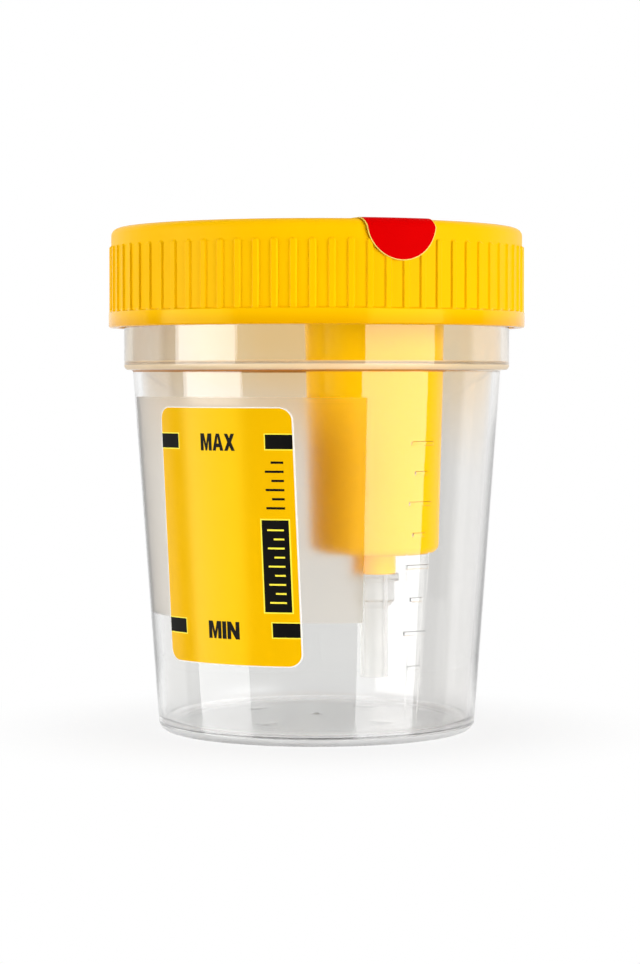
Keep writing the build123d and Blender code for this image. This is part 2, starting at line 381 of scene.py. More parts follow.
def back_wall_painted_light(tree, angle, out, height):
    """The far wall's tint, cool low down and warm under the lid. The warmth is painted light, the
    lid's yellow painted into the plastic; the lighter right side and the browner, darker left are
    painted light and shade.
    """
    sine = worked_out(tree, "SINE", worked_out(tree, "MULTIPLY", angle, radians(1)))
    sideways = worked_out(tree, "MULTIPLY", sine, out)
    left = ramped(tree, sideways, -18, -29)
    right = ramped(tree, sideways, 11, 22)
    # Painted light and shade: lighter at the right, a little browner at the left.
    cool = blended(tree, left, (0.80, 0.80, 0.79), (0.80, 0.79, 0.77))
    cool = blended(tree, right, cool, (0.87, 0.87, 0.86))
    cool = blended(tree, ramped(tree, height, 1.5, 5.0), (0.80, 0.80, 0.795), cool)
    # Painted light from the lid's yellow: darker at the left as painted shade, lighter at the right,
    # deeper round the back.
    painted_lid_light = blended(tree, left, (0.90, 0.71, 0.46), (0.55, 0.44, 0.31))
    painted_lid_light = blended(tree, right, painted_lid_light, (0.96, 0.77, 0.50))
    turned_away = worked_out(tree, "ABSOLUTE", angle)
    painted_lid_light = blended(tree, ramped(tree, turned_away, 130, 165), painted_lid_light, (0.84, 0.59, 0.28))
    lid_light_height = worked_out(tree, "MULTIPLY_ADD", noise(tree, 60), 6.0, height)
    return blended(tree, ramped(tree, lid_light_height, 39, 65), cool, painted_lid_light)


def clear_polypropylene():
    """Clear plastic, a little hazy at the foot. The ends of its collar carry painted shade and the
    lid's yellow as painted light, the near wall is darker in front of the well as painted shade, and
    the matt panel is warmer as painted light.
    """
    material, tree, shader = new_material("clear_polypropylene")
    angle, out, height = place_on_piece(tree)
    turned_away = worked_out(tree, "ABSOLUTE", angle)
    rightwards = ramped(tree, angle, -5, 5)
    panel = label_panel(tree, angle, out, height)
    # Where the collar's ends get painted light and shade.
    collar_end = ramped(tree, height, shoulder_height + 0.2, shoulder_height + 0.6)
    collar_end = worked_out(tree, "MULTIPLY", collar_end, ramped(tree, turned_away, 56, 72))

    foot_haze = ramped(tree, height, 2.0, 5.0, 0.14, 0.02)
    haze = worked_out(tree, "MULTIPLY_ADD", noise(tree, 90), 0.03, foot_haze)
    rough = worked_out(tree, "MULTIPLY_ADD", panel, 0.28, haze)
    tree.links.new(rough, shader.inputs["Roughness"])
    grained(tree, shader, noise(tree, 2500), 0.00002, worked_out(tree, "MULTIPLY", panel, 0.5))

    # The gloss on the collar's ends is tinted warm and weaker at the left, a painted reflection of
    # the lid.
    mirror = blended(tree, rightwards, (0.60, 0.50, 0.36), (0.85, 0.75, 0.62))
    mirror = blended(tree, collar_end, (1.0, 1.0, 1.0), mirror)
    mirror = blended(tree, panel, mirror, (0.12, 0.12, 0.12))
    tree.links.new(mirror, shader.inputs["Specular Tint"])

    near_wall = blended(tree, noise(tree, 90), (0.96, 0.96, 0.955), (0.98, 0.98, 0.975))
    # Darker in front of the well's right side: painted shade that dims the well seen through it.
    near_wall = blended(tree, ramped(tree, angle, 12, 26), near_wall, (0.89, 0.88, 0.87))
    # Painted shade and the lid's yellow as painted light on the collar's ends, darker at the left.
    painted_collar_light_and_shade = blended(tree, rightwards, (0.72, 0.62, 0.48), (0.90, 0.82, 0.72))
    near_wall = blended(tree, collar_end, near_wall, painted_collar_light_and_shade)
    # Warmer on the matt panel: painted yellow light.
    near_wall = blended(tree, panel, near_wall, (0.95, 0.87, 0.76))
    farther = ramped(tree, turned_away, 75, 105)
    floor = worked_out(tree, "LESS_THAN", worked_out(tree, "ADD", height, out), floor_radius)
    farther = worked_out(tree, "MAXIMUM", farther, floor)
    tinted(tree, shader, farther, near_wall, back_wall_painted_light(tree, angle, out, height))
    shader.inputs["IOR"].default_value = plastic_ior
    shader.inputs["Transmission Weight"].default_value = 1.0
    return material


def clouded_plastic_painted_light(name, light, dark):
    """Thick plastic seen edge on: soft, rough and half clear, in given colours that are painted light
    and shade.
    """
    material, tree, shader = new_material(name)
    tinted(tree, shader, noise(tree, 200), dark, light)
    rough = worked_out(tree, "MULTIPLY_ADD", noise(tree, 300), 0.1, 0.3)
    tree.links.new(rough, shader.inputs["Roughness"])
    shader.inputs["IOR"].default_value = plastic_ior
    shader.inputs["Transmission Weight"].default_value = 0.5
    return material


# The ledge's beige and its root's brown are the lid's yellow as painted light, the fold's dark orange
# line is a painted reflection of the lid, and the foot's grey is painted shade.
cup_materials = {
    "walls": clear_polypropylene(),
    "ledge": clouded_plastic_painted_light("clear_ledge", (0.90, 0.75, 0.52), (0.84, 0.66, 0.41)),
    "ledge_root": clouded_plastic_painted_light("clear_ledge_root", (0.70, 0.50, 0.26), (0.64, 0.44, 0.21)),
    "foot": clouded_plastic_painted_light("clear_foot", (0.76, 0.76, 0.76), (0.70, 0.70, 0.70)),
    "ledge_fold": clouded_plastic_painted_light("clear_ledge_fold", (0.46, 0.17, 0.012), (0.39, 0.13, 0.008)),
}


# Where the fold's painted reflection lies, and how high the foot's painted shade reaches.
fold_radius = body_top_radius + 0.15
fold_height = shoulder_height - 0.1
fold_reach = 0.25
fold_right_end = 19
foot_height = 1.0


def cup_material_of(middle):
    """Which material a face of the cup has, from its middle in millimetres; the ledge, its root, its
    fold and the foot get painted light and shade.
    """
    out = hypot(middle.x, middle.y)
    in_fold = abs(middle.z - fold_height) < fold_reach and abs(out - fold_radius) < fold_reach
    if in_fold and middle.x < fold_right_end:
        return "ledge_fold"
    if out > land_radius + 0.2 and middle.z < foot_height:
        return "foot"
    if out > body_top_radius - body_wall - 0.2 and middle.z > shoulder_height:
        if shoulder_height + 0.15 < middle.z < ledge - 0.1:
            return "ledge"
        if out < neck_bore + 0.1 and middle.z < ledge + 0.35:
            return "ledge_root"
    return "walls"


for surface_material in cup_materials.values():
    cup.data.materials.append(surface_material)
cup_material_names = list(cup_materials)
for face in cup.data.polygons:
    face.material_index = cup_material_names.index(cup_material_of(face.center / mm))

# The clear walls cast no shadow, so that light reaches what is inside them.
cup.visible_shadow = False
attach(cup, "cup_body")
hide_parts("cup")

# Volume label
# A yellow printed film stuck on the matt panel, with a thin bare edge where it was cut out.
# Black bars show how much to fill in, and a plain scale runs down its right side.

label_low, label_high = span("volume_label")
label_angle = radians(-31.45)
label_foot = label_low.z
label_top = label_high.z
label_width = 23.5
label_corner = 2.0
label_thickness = 0.1
label_lift = 0.15
bare_width = 0.16
yellow_lift = label_lift + 0.01
outline_lift = label_lift + 0.02
black_lift = label_lift + 0.03
tick_lift = label_lift + 0.04
film_columns = 48


def on_label(across, height, lift):
    """A point on the cup's taper, from its distance across the label's facing plane."""
    out = wall_radius(height) + lift
    sideways = min(1, max(-1, across / out))
    turn = label_angle + atan2(sideways, (1 - sideways**2) ** 0.5)
    return Vector((out * sin(turn), -out * cos(turn), height)) * mm


def half_width(height, width, foot, top, corner):
    """Half the width of an upright field with round corners, at a height."""
    near = min(height - foot, top - height)
    if near >= corner:
        return width / 2
    return width / 2 - corner + (corner**2 - (corner - near) ** 2) ** 0.5


def corner_rows(foot, top, corner):
    """Heights for a field with round corners, closest together where it curves."""
    count = 8
    steps = [corner * (1 - cos(pi / 2 * step / count)) for step in range(count + 1)]
    straight = top - foot - 2 * corner
    middle = [foot + corner + straight * step / count for step in range(1, count)]
    return [foot + s for s in steps] + middle + [top - s for s in reversed(steps)]


def film(name, width, foot, top, corner, lift, thickness=0.0):
    """A field with round corners that lies on the cup's taper, as a skin or with a thickness."""
    mesh = bmesh.new()
    layers = []
    for depth in (0, thickness) if thickness else (0,):
        rows = []
        for height in corner_rows(foot, top, corner):
            half = half_width(height, width, foot, top, corner)
            columns = [half * (2 * step / film_columns - 1) for step in range(film_columns + 1)]
            rows.append([mesh.verts.new(on_label(x, height, lift - depth)) for x in columns])
        for lower, upper in zip(rows, rows[1:]):
            for column in range(film_columns):
                mesh.faces.new((lower[column], lower[column + 1], upper[column + 1], upper[column]))
        border = rows[0] + [row[-1] for row in rows[1:]] + rows[-1][-2::-1]
        border += [row[0] for row in rows[-2:0:-1]]
        layers.append(border)
    if thickness:
        front, back = layers
        for place, corner_vertex in enumerate(front):
            mesh.faces.new((corner_vertex, front[place - 1], back[place - 1], back[place]))
    return finished(mesh, name)


def printed_film(name, light, dark, rough):
    """A printed colour on film, a little uneven, with the film's own soft gloss."""
    material, tree, shader = new_material(name)
    tinted(tree, shader, noise(tree, 400), light, dark)
    shade = worked_out(tree, "MULTIPLY_ADD", noise(tree, 150), 0.1, rough)
    tree.links.new(shade, shader.inputs["Roughness"])
    grained(tree, shader, noise(tree, 1500), 0.00001, 0.4)
    return material


def lets_light_through(material, colour):
    """Lets part of the light pass through a thin film, in the film's own colour."""
    tree = material.node_tree
    output = tree.nodes["Material Output"]
    passing = tree.nodes.new("ShaderNodeBsdfTransparent")
    passing.inputs["Color"].default_value = (*colour, 1)
    path = tree.nodes.new("ShaderNodeLightPath")
    either = tree.nodes.new("ShaderNodeMixShader")
    tree.links.new(path.outputs["Is Shadow Ray"], either.inputs["Fac"])
    tree.links.new(tree.nodes["Principled BSDF"].outputs[0], either.inputs[1])
    tree.links.new(passing.outputs[0], either.inputs[2])
    tree.links.new(either.outputs[0], output.inputs["Surface"])


bare_edge = printed_film("label_bare_edge", (0.86, 0.85, 0.80), (0.80, 0.79, 0.74), 0.45)
lets_light_through(bare_edge, (0.62, 0.5, 0.2))
label_yellow = printed_film("label_yellow", (0.85, 0.465, 0.001), (0.81, 0.445, 0.001), 0.16)
coloured_gloss(label_yellow, (1.0, 0.95, 0.03), 0.45)
label_black = printed_film("label_black", (0.004, 0.004, 0.004), (0.008, 0.008, 0.007), 0.4)
coloured_gloss(label_black, (1.0, 0.95, 0.8), 0.06)
label_bright = printed_film("label_bright_yellow", (0.98, 0.85, 0.05), (0.94, 0.80, 0.04), 0.42)


def on_film(piece, material):
    """Puts a printed piece on the cup; only the film under them all casts a shadow."""
    piece.data.materials.append(material)
    piece.visible_shadow = piece.name == "label_film"
    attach(piece, "cup_body")


label = film(
    "label_film", label_width, label_foot, label_top, label_corner, label_lift, label_thickness
)
on_film(label, bare_edge)
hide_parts("volume_label")
on_film(
    film(
        "label_yellow_field",
        label_width - 2 * bare_width,
        label_foot + bare_width,
        label_top - bare_width,
        label_corner - bare_width,
        yellow_lift,
    ),
    label_yellow,
)


def field(name, left, right, foot, top, lift, material):
    """A plain printed rectangle on the label."""
    mesh = bmesh.new()
    count = max(1, round((right - left) / 0.5))
    rows = []
    for height in (foot, top):
        columns = [left + (right - left) * step / count for step in range(count + 1)]
        rows.append([mesh.verts.new(on_label(x, height, lift)) for x in columns])
    for step in range(count):
        mesh.faces.new((rows[0][step], rows[0][step + 1], rows[1][step + 1], rows[1][step]))
    on_film(finished(mesh, name), material)


bar_inner = 7.7
bar_outer = label_width / 2 - bare_width
bar_height = 2.15
outline_width = 0.17
bar_feet = {"max": 44.5, "min": 16.53}
bar_sides = (("left", -bar_outer, -bar_inner), ("right", bar_inner, bar_outer))
for word, foot in bar_feet.items():
    for side, left, right in bar_sides:
        inner_left = left - outline_width * (side == "right")
        inner_right = right + outline_width * (side == "left")
        field(
            f"{word}_bar_edge_{side}",
            inner_left,
            inner_right,
            foot - outline_width,
            foot + bar_height + outline_width,
            outline_lift,
            label_bright,
        )
        field(f"{word}_bar_{side}", left, right, foot, foot + bar_height, black_lift, label_black)


letter_shapes = {
    "M": [
        [(0, 0), (0.27, 0), (0.27, 0.6), (0.42, 0), (0.58, 0), (0.73, 0.6), (0.73, 0)]
        + [(1, 0), (1, 1), (0.66, 1), (0.5, 0.4), (0.34, 1), (0, 1)]
    ],
    "A": [
        [(0, 0), (0.31, 0), (0.355, 0.2), (0.645, 0.2), (0.69, 0), (1, 0), (0.66, 1), (0.34, 1)],
        [(0.405, 0.42), (0.595, 0.42), (0.5, 0.8)],
    ],
    "X": [
        [(0, 0), (0.33, 0), (0.5, 0.28), (0.67, 0), (1, 0), (0.68, 0.51), (0.98, 1), (0.65, 1)]
        + [(0.5, 0.74), (0.35, 1), (0.02, 1), (0.32, 0.51)]
    ],
    "I": [[(0, 0), (1, 0), (1, 1), (0, 1)]],
    "N": [
        [(0, 0), (0.31, 0), (0.31, 0.52), (0.68, 0), (1, 0), (1, 1), (0.69, 1), (0.69, 0.48)]
        + [(0.32, 1), (0, 1)]
    ],
}
letter_widths = {"M": 1.0, "A": 0.92, "X": 0.88, "I": 0.31, "N": 0.9}
letter_gap = 0.07


def lettering(word, left, right, foot, top):
    """A plain word in black block capitals, fitted to a rectangle on the label."""
    mesh = bmesh.new()
    total = sum(letter_widths[letter] for letter in word) + letter_gap * (len(word) - 1)
    unit = (right - left) / total
    start = left
    for letter in word:
        width = letter_widths[letter] * unit
        edges = []
        for loop in letter_shapes[letter]:
            corners = [(start + width * x, foot + (top - foot) * y) for x, y in loop]
            points = [mesh.verts.new((x, y, 0)) for x, y in corners]
            for here, point in enumerate(points):
                edges.append(mesh.edges.new((points[here - 1], point)))
        bmesh.ops.triangle_fill(mesh, edges=edges, use_beauty=True, use_dissolve=False)
        start += width + letter_gap * unit
    for vertex in mesh.verts:
        vertex.co = on_label(vertex.co.x, vertex.co.y, black_lift)
    on_film(finished(mesh, f"word_{word.lower()}"), label_black)


lettering("MAX", left=-3.1, right=2.95, foot=44.2, top=46.75)
lettering("MIN", left=-3.0, right=2.5, foot=16.05, top=18.7)

scale_left, scale_right = 6.7, 10.6
scale_foot, scale_top = 20.3, 34.0
scale_edge = 0.2
field(
    "scale_edge",
    scale_left - scale_edge,
    scale_right + scale_edge,
    scale_foot - scale_edge,
    scale_top + scale_edge,
    outline_lift,
    label_bright,
)
field("scale_field", scale_left, scale_right, scale_foot, scale_top, black_lift, label_black)


tick_pitch = 1.35
tick_insets = (0.8, 1.7)
light_tick_height, dark_tick_height = 0.25, 0.35


def tick(name, step, foot, right, thickness, lift, material):
    """One tick of a column in which they are long and short by turns."""
    left = scale_left + tick_insets[step % 2]
    height = foot + tick_pitch * step
    field(f"{name}_{step}", left, right, height, height + thickness, lift, material)


for step in range(9):
    right = scale_right - 0.7
    tick("scale_light_tick", step, 21.6, right, light_tick_height, tick_lift, label_bright)
for step in range(6):
    right = scale_right - 0.4
    tick("scale_dark_tick", step, 35.6, right, dark_tick_height, black_lift, label_black)

# Sealing ring
# A loose washer of soft white foam between the cup's rim and the lid. It is squeezed when the
# lid is screwed down.


def ring_foam():
    """White foam, matt and finely pitted."""
    material, tree, shader = new_material("ring_foam")
    tinted(tree, shader, noise(tree, 900), (0.80, 0.79, 0.76), (0.66, 0.65, 0.62))
    shader.inputs["Roughness"].default_value = 0.85
    grained(tree, shader, noise(tree, 1800), 0.0001, 0.6)
    return material


seal_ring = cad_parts["seal_ring"]
seal_ring.data.materials.clear()
seal_ring.data.materials.append(ring_foam())

# Lid
# Yellow polypropylene, one moulding. Its skirt has grip ribs over a smooth band and a thread
# inside, a plug enters the cup's neck, and a deep well for a sample tube hangs off-centre.

lid_low, lid_high = span("lid")
ring_high = span("seal_ring")[1]
lid_overlap = 1.0
lid_wall = 1.0
lid_edge_round = 1.2
ring_clearance = 0.2
band_height = 2.3
rib_count = 72
rib_width = 1.0
rib_proud = 0.3
rib_top_gap = 2.8
rib_phase = radians(-1)
rib_soft = 0.09
plug_clearance = 0.25
plug_wall = 1.0
plug_depth = 4.5
lid_thread_play = 0.25
lid_thread_lag = 25
lid_thread_arc = 110
lid_thread_depth = 2.0
lid_thread_row_step = 0.4
band_radius = lid_high.x
lid_bottom = shoulder_top - lid_overlap
lid_top = lid_high.z
ceiling = ring_high.z
lid_thread_top = ceiling - lid_thread_depth
lid_bore = ring_high.x + ring_clearance
lid_radius = lid_bore + lid_wall
band_proud = band_radius - lid_radius
band_top = lid_bottom + band_height
rib_top = lid_top - rib_top_gap
plug_radius = neck_bore - plug_clearance
plug_bore = plug_radius - plug_wall
plug_bottom = ceiling - plug_depth

sleeve_low, sleeve_high = span("rubber_sleeve")
boss_radius = 2.6
boss_height = 3.0
spigot_radius = 1.2
spigot_length = 3.0
mouth_radius = 9.75
mouth_round = 0.4
well_end_radius = 8.65
well_wall = 1.1
well_floor = 1.2
well_corner = 1.4
hub_radius = 3.3
tenon_length = 2.6
hub_end_gap = 0.3
straw_radius = 2.15
hub_bore = straw_radius + 0.03
cannula_hole = 0.47
well_x = (sleeve_low.x + sleeve_high.x) / 2
well_y = (sleeve_low.y + sleeve_high.y) / 2
boss_top = sleeve_low.z
spigot_top = boss_top + spigot_length
well_bottom = boss_top - boss_height
hub_top = well_bottom - well_floor
hub_bottom = lid_low.z
tenon_top = hub_bottom + tenon_length
hub_bore_top = tenon_top + hub_end_gap


def ribbed(angle, across, up):
    """Adds the grip ribs outside the lid's skirt and the thread inside it."""
    if abs(across - lid_bore) < 0.01 and up < lid_thread_top:
        overlap = neck_radius + 2 * thread_height - lid_bore
        flanks = thread_crest + overlap / (2 * thread_height) + lid_thread_play
        first_height = shoulder_top + cup_thread_rise + thread_lead * lid_thread_lag / 360 - flanks
        return across - thread_at(angle, up, lid_thread_lag, first_height, lid_thread_arc), up
    if abs(across - lid_radius) < 0.01 and band_top - 0.01 < up < rib_top + 0.01:
        pitch = 2 * pi / rib_count
        beside = ((angle - rib_phase + pitch / 2) % pitch - pitch / 2) * lid_radius
        above = max(0, up - rib_top + rib_width / 2)
        inset = rib_width / 2 + rib_soft / 2 - hypot(beside, above)
        share = min(1, max(0, inset / (2 * rib_soft)))
        return across + rib_proud * share * share * (3 - 2 * share), up
    return across, up


rib_offsets = (-0.56, -0.48, -0.42, -0.34, 0, 0.34, 0.42, 0.48, 0.56)
lid_angles = [
    rib_phase + 2 * pi * rib / rib_count + offset / lid_radius
    for rib in range(rib_count)
    for offset in (*rib_offsets, lid_radius * pi / rib_count)
]
rib_rows = [rib_top - 0.08 * step for step in range(10)]
lid_thread_rows = [lid_thread_top - lid_thread_row_step * step for step in range(28)]
lid_outline = rounded(
    [
        (plug_bore, ceiling),
        (plug_bore, plug_bottom),
        (plug_radius, plug_bottom, 0.45),
        (plug_radius, ceiling),
        (lid_bore, ceiling),
        *[(lid_bore, height) for height in lid_thread_rows],
        (lid_bore, lid_bottom, 0.15),
        (band_radius, lid_bottom, 0.35),
        (band_radius, band_top, 0.12),
        (lid_radius, band_top + band_proud * 0.6),
        (lid_radius, band_top + band_proud),
        *[(lid_radius, height) for height in reversed(rib_rows)],
        (lid_radius, rib_top + 0.1),
        (lid_radius, lid_top, lid_edge_round),
        (plug_bore, lid_top),
    ]
)[:-1]
well_outline = rounded(
    [
        (mouth_radius + 1.0, lid_top),
        (mouth_radius, lid_top, mouth_round),
        (well_end_radius, well_bottom, 0.7),
        (boss_radius, well_bottom, 0.2),
        (boss_radius, boss_top, 0.15),
        (spigot_radius, boss_top),
        (spigot_radius, spigot_top, 0.15),
        (cannula_hole, spigot_top),
        (cannula_hole, hub_bore_top),
        (hub_bore, hub_bore_top),
        (hub_bore, hub_bottom),
        (hub_radius, hub_bottom, 0.15),
        (hub_radius, hub_top, 0.3),
        (well_end_radius + well_wall, hub_top, well_corner),
        (mouth_radius + well_wall, ceiling),
    ]
)[1:]


def filled(mesh, outer, inner):
    """Fills the flat face between a ring of vertices and a ring inside it."""
    edges = []
    for ring in (outer, inner):
        for here, vertex in enumerate(ring):
            edges.append(mesh.edges.get((ring[here - 1], vertex)))
    bmesh.ops.triangle_fill(mesh, edges=edges, use_beauty=True)


lid_mesh = bmesh.new()
inside_edge, outside_edge = turned(lid_mesh, lid_outline, lid_angles, moulded=ribbed)
mouth_edge, well_root = turned(lid_mesh, well_outline, even_angles(144), centre=(well_x, well_y))
filled(lid_mesh, outside_edge, mouth_edge)
filled(lid_mesh, inside_edge, well_root)
lid = finished(lid_mesh, "yellow_lid", sharp=40)
even_shading = lid.modifiers.new("even_shading", "WEIGHTED_NORMAL")
even_shading.keep_sharp = True


def moulded_yellow(tree):
    """The yellow of the plastic, a little uneven."""
    return blended(tree, noise(tree, 120), (0.93, 0.50, 0.0), (0.96, 0.53, 0.001))


def yellow_polypropylene():
    """Yellow plastic: finely grained on the ribbed skirt, polished elsewhere, and darker towards
    the free edge of the band, as painted shade where less light comes from below."""
    material, tree, shader = new_material("yellow_polypropylene")
    out, height = place_on_piece(tree)[1:]
    skirt = ramped(tree, height, band_top + 0.2, band_top + 0.5)
    skirt = worked_out(tree, "MULTIPLY", skirt, ramped(tree, out, lid_bore + 0.3, lid_bore + 0.6))
    rough = worked_out(tree, "MULTIPLY_ADD", skirt, 0.25, 0.14)
    rough = worked_out(tree, "MULTIPLY_ADD", noise(tree, 200), 0.06, rough)
    tree.links.new(rough, shader.inputs["Roughness"])
    # Painted shade: darker towards the band's free edge.
    band_edge_shade = ramped(tree, height, band_top + 0.2, lid_bottom, 0.0, 0.6)
    on_skirt = worked_out(tree, "GREATER_THAN", out, lid_bore)
    band_edge_shade = worked_out(tree, "MULTIPLY", band_edge_shade, on_skirt)
    tinted(tree, shader, band_edge_shade, moulded_yellow(tree), (0.70, 0.29, 0.0))
    grained(tree, shader, noise(tree, 3500), 0.00003, worked_out(tree, "MULTIPLY", skirt, 0.6))
    shader.inputs["IOR"].default_value = plastic_ior
    coloured_gloss(material, (1.0, 0.8, 0.05), 0.25)
    band = ramped(tree, height, band_top + 0.5, band_top + 0.2)
    on_band = worked_out(tree, "GREATER_THAN", out, lid_radius + 0.2)
    band = worked_out(tree, "MULTIPLY", band, on_band)
    polish = blended(tree, band, (0.3, 0.25, 0.01), (1.0, 1.0, 0.08))
    tree.links.new(polish, shader.inputs["Specular Tint"])
    return material


def matt_top():
    """The same yellow plastic with the mould's matt finish on the flat top."""
    material, tree, shader = new_material("yellow_top")
    tree.links.new(moulded_yellow(tree), shader.inputs["Base Color"])
    rough = worked_out(tree, "MULTIPLY_ADD", noise(tree, 200), 0.1, 0.5)
    tree.links.new(rough, shader.inputs["Roughness"])
    grained(tree, shader, noise(tree, 3500), 0.00003, 0.6)
    shader.inputs["IOR"].default_value = plastic_ior
    coloured_gloss(material, (1.0, 0.8, 0.05), 0.05)
    return material


for surface_material in (yellow_polypropylene(), matt_top()):
    lid.data.materials.append(surface_material)
for face in lid.data.polygons:
    on_top = face.normal.z > 0.9 and face.center.z > (lid_top - 0.3) * mm
    face.material_index = 1 if on_top else 0
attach(lid, "lid_body")
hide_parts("lid")

# Cannula and rubber sleeve
# A ground steel tube is set through the floor of the well. A grey rubber sleeve is pushed on
# round it and closes over its point until a sample tube presses it down.


def ground_steel():
    """Bright steel, finely ground."""
    material, tree, shader = new_material("ground_steel")
    shader.inputs["Metallic"].default_value = 1.0
    tinted(tree, shader, noise(tree, 3000), (0.62, 0.62, 0.63), (0.5, 0.5, 0.51))
    shader.inputs["Roughness"].default_value = 0.25
    grained(tree, shader, noise(tree, 6000), 0.00001, 0.3)
    return material


def sleeve_rubber():
    """Grey rubber with a dull skin."""
    material, tree, shader = new_material("sleeve_rubber")
    tinted(tree, shader, noise(tree, 700), (0.42, 0.41, 0.39), (0.35, 0.34, 0.32))
    shader.inputs["Roughness"].default_value = 0.6
    grained(tree, shader, noise(tree, 2500), 0.00003, 0.5)
    return material


for node, make in (("cannula", ground_steel), ("rubber_sleeve", sleeve_rubber)):
    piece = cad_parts[node]
    piece.data.materials.clear()
    piece.data.materials.append(make())

# Straw
# Clear plastic, one moulding: a suction tube whose top is pushed into the lid's hub as far as
# its flange, with a thick collar below. It reaches down into the specimen.

straw_low, straw_high = span("straw")
flange_radius = (straw_high.x - straw_low.x) / 2
flange_thickness = 1.15
collar_radius = 3.1
collar_length = 5.2
collar_chamfer = 0.9
collar_bottom = hub_bottom - collar_length
straw_bore = 1.45
straw_outline = rounded(
    [
        (straw_bore, tenon_top, 0.1),
        (straw_radius, tenon_top, 0.15),
        (straw_radius, hub_bottom),
        (flange_radius, hub_bottom, 0.15),
        (flange_radius, hub_bottom - flange_thickness, 0.15),
        (collar_radius, hub_bottom - flange_thickness),
        (collar_radius, collar_bottom + collar_chamfer, 0.3),
        (straw_radius, collar_bottom, 0.2),
        (straw_radius, straw_low.z, 0.15),
        (straw_bore, straw_low.z, 0.1),
    ]
)
straw_mesh = bmesh.new()
straw_outline.append(straw_outline[0])
turned(straw_mesh, straw_outline, even_angles(96), centre=(well_x, well_y))
bmesh.ops.remove_doubles(straw_mesh, verts=straw_mesh.verts, dist=1e-7)
straw = finished(straw_mesh, "straw_tube")


def straw_plastic():
    """Clear plastic, a little cloudier than the cup."""
    material, tree, shader = new_material("straw_plastic")
    tinted(tree, shader, noise(tree, 300), (0.76, 0.76, 0.75), (0.82, 0.82, 0.81))
    rough = worked_out(tree, "MULTIPLY_ADD", noise(tree, 500), 0.04, 0.06)
    tree.links.new(rough, shader.inputs["Roughness"])
    shader.inputs["IOR"].default_value = plastic_ior
    shader.inputs["Transmission Weight"].default_value = 0.9
    return material


straw.data.materials.append(straw_plastic())
straw.visible_shadow = False
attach(straw, "lid_body")
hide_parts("straw")

# Safety seal
# A disc of film stuck over the mouth of the well, printed red. Its round-ended tongue is folded
# down over the lid's edge, and a thin pale border shows where the print stops short.

seal_low, seal_high = span("safety_seal")
seal_angle = radians(21.45)
seal_ahead = Vector((sin(seal_angle), -cos(seal_angle), 0))
seal_across = Vector((cos(seal_angle), sin(seal_angle), 0))
seal_thickness = 0.12
seal_lift = -0.02
seal_border = 0.12
tongue_half = 5.55
tongue_lean = 0.8
seal_margin = 3.25
seal_gap = 0.18
seal_disc = mouth_radius + seal_margin
seal_fold = lid_edge_round + 0.15
seal_side = lid_radius + rib_proud + seal_gap
print_lift = seal_lift + 0.015
seal_columns = 24
fold_steps = 8
tongue_steps = 16
disc_steps = 72
fold_foot = seal_high.z - seal_fold
tongue_length = fold_foot - seal_low.z
tongue_arc = (tongue_half**2 + tongue_length**2) / (2 * tongue_length)
tongue_middle = seal_low.z + tongue_arc


def on_seal(sideways, forward, height):
    return (seal_across * sideways + seal_ahead * forward + Vector((0, 0, height))) * mm


def tongue_row(mesh, out, height, lean, half):
    """A row of vertices across the tongue, at a distance from the lid's axis and a height."""
    shares = [2 * step / seal_columns - 1 for step in range(seal_columns + 1)]
    places = [lean + half * share for share in shares]
    return [mesh.verts.new(on_seal(x, (out**2 - x**2) ** 0.5, height)) for x in places]


def disc_edge(mesh, half, reach, height):
    """Vertices round the disc, from one side of the tongue to the other."""
    centre = Vector((well_x, well_y, 0))
    middle_x, middle_y = centre.dot(seal_across), centre.dot(seal_ahead)
    first = atan2((reach**2 - (half - middle_x) ** 2) ** 0.5, half - middle_x)
    last = atan2((reach**2 - (half + middle_x) ** 2) ** 0.5, -half - middle_x) - 2 * pi
    border = []
    for step in range(disc_steps + 1):
        turn = first + (last - first) * step / disc_steps
        place = (middle_x + reach * cos(turn), middle_y + reach * sin(turn))
        border.append(mesh.verts.new(on_seal(*place, height)))
    return border


def seal_layer(mesh, inset, lift):
    """One face of the seal, and the loop of vertices round its edge."""
    half = tongue_half - inset
    arc = tongue_arc - inset
    fold = seal_fold + lift
    side = seal_side + lift
    rows = []
    for step in range(fold_steps + 1):
        turn = pi / 2 * step / fold_steps
        out = side - fold + fold * sin(turn)
        lean = tongue_lean * step / fold_steps
        rows.append(tongue_row(mesh, out, fold_foot + fold * cos(turn), lean, half))
    for step in range(1, tongue_steps):
        fall = (tongue_middle - arc - fold_foot) * sin(pi / 2 * step / tongue_steps)
        height = fold_foot + fall
        wide = (arc**2 - (height - tongue_middle) ** 2) ** 0.5
        rows.append(tongue_row(mesh, side, height, tongue_lean, wide))
    for upper, lower in zip(rows, rows[1:]):
        for here in range(seal_columns):
            mesh.faces.new((lower[here], lower[here + 1], upper[here + 1], upper[here]))
    tip_forward = (side**2 - tongue_lean**2) ** 0.5
    tip = mesh.verts.new(on_seal(tongue_lean, tip_forward, tongue_middle - arc))
    for here in range(seal_columns):
        mesh.faces.new((tip, rows[-1][here + 1], rows[-1][here]))
    border = disc_edge(mesh, half, seal_disc - inset, fold_foot + fold)
    top = rows[0] + border
    edges = []
    for here, vertex in enumerate(top):
        edge = mesh.edges.get((top[here - 1], vertex)) or mesh.edges.new((top[here - 1], vertex))
        edges.append(edge)
    bmesh.ops.triangle_fill(mesh, edges=edges, use_beauty=True)
    return border + [row[0] for row in rows] + [tip] + [row[-1] for row in reversed(rows)]


